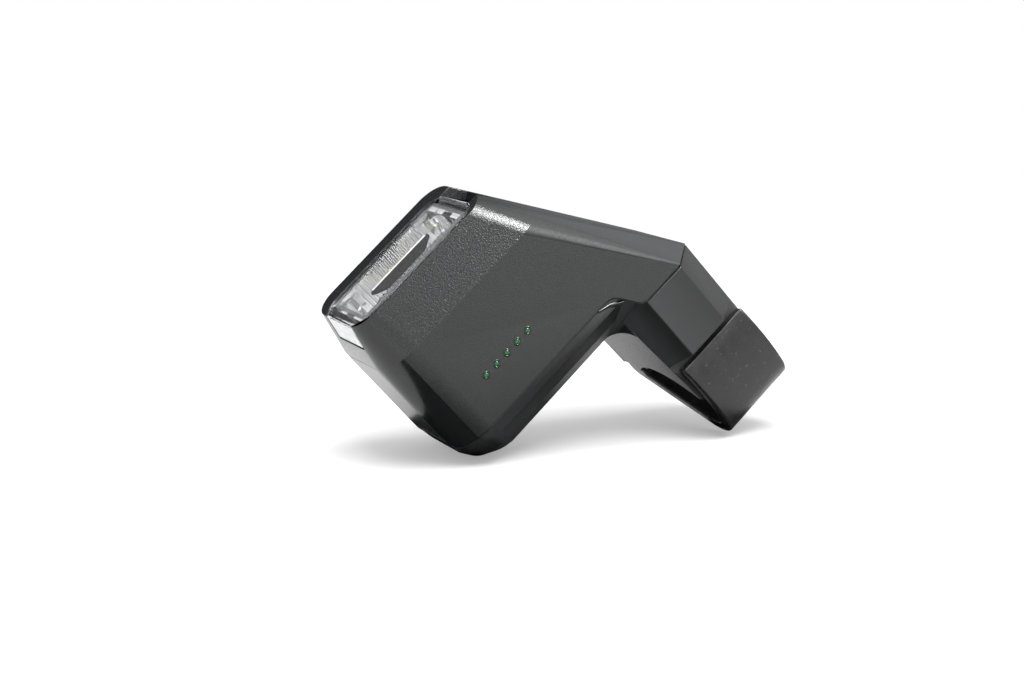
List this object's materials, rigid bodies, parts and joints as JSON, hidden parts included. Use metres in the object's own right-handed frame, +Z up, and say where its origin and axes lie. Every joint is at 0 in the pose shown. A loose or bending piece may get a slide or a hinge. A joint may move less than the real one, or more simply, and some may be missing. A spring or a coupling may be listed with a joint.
{
  "type": "bike headlight",
  "caption": "Handlebar headlight: an angular black case with a clear front and reflector, on an offset arm that a rubber strap holds to the bar.",
  "frame": {"origin": "centre of the handlebar, at the middle of the arm", "axes": "+X to the rider's left along the handlebar, -Y the way the beam goes, +Z up"},
  "size_m": [0.0735, 0.0912, 0.0378],
  "materials": {
    "case": "fine-grained black moulding",
    "panel": "smooth black moulding",
    "clear": "clear moulding",
    "bright": "metallised moulding",
    "dark_trim": "glossy black moulding",
    "light_chip": "yellow phosphor",
    "white_chip": "white chip",
    "green_guide": "clear green moulding",
    "rubber": "soft black rubber",
    "steel": "plain steel",
    "sink": "cast and blasted",
    "board": "green laminate",
    "wire": "red insulation",
    "cell": "wrapped cell can",
    "tray": "dark grey moulding",
    "button": "satin black moulding"
  },
  "bodies": {
    "light": {"front_housing": "case", "rear_cover": "case", "side_panel": "panel", "housing_seal": "rubber", "lens": "clear", "lens_seal": "rubber", "reflector_upper": "bright", "reflector_lower": "bright", "led_bridge": "dark_trim", "main_leds": "light_chip", "heat_sink": "sink", "sink_screws": "steel", "led_leads": "wire", "gauge_lights": "green_guide", "gauge_leds": "white_chip", "main_board": "board", "board_screws": "steel", "battery_cell": "cell", "battery_tabs": "steel", "battery_cradle": "tray", "charge_port": "steel", "button_switch": "tray", "housing_screws": "steel", "bar_pad": "rubber", "strap_pin": "steel"},
    "strap": {"strap": "rubber"},
    "button": {"power_button": "button"},
    "flap": {"port_cover": "rubber"}
  },
  "joints": [
    {"name": "strap_swing", "type": "hinge", "parent": "light", "child": "strap", "pos_m": [0, -0.012, -0.0153], "axis": [-1, 0, 0], "range_deg": [0, 110]},
    {"name": "button_press", "type": "slide", "parent": "light", "child": "button", "axis": [0, -1, 0], "range_m": [0, 0.0008], "stiffness_N_per_m": 600},
    {"name": "flap_fold", "type": "hinge", "parent": "light", "child": "flap", "pos_m": [0.043, -0.0374, 0.0014], "axis": [-1, 0, 0], "range_deg": [0, 110]}
  ]
}
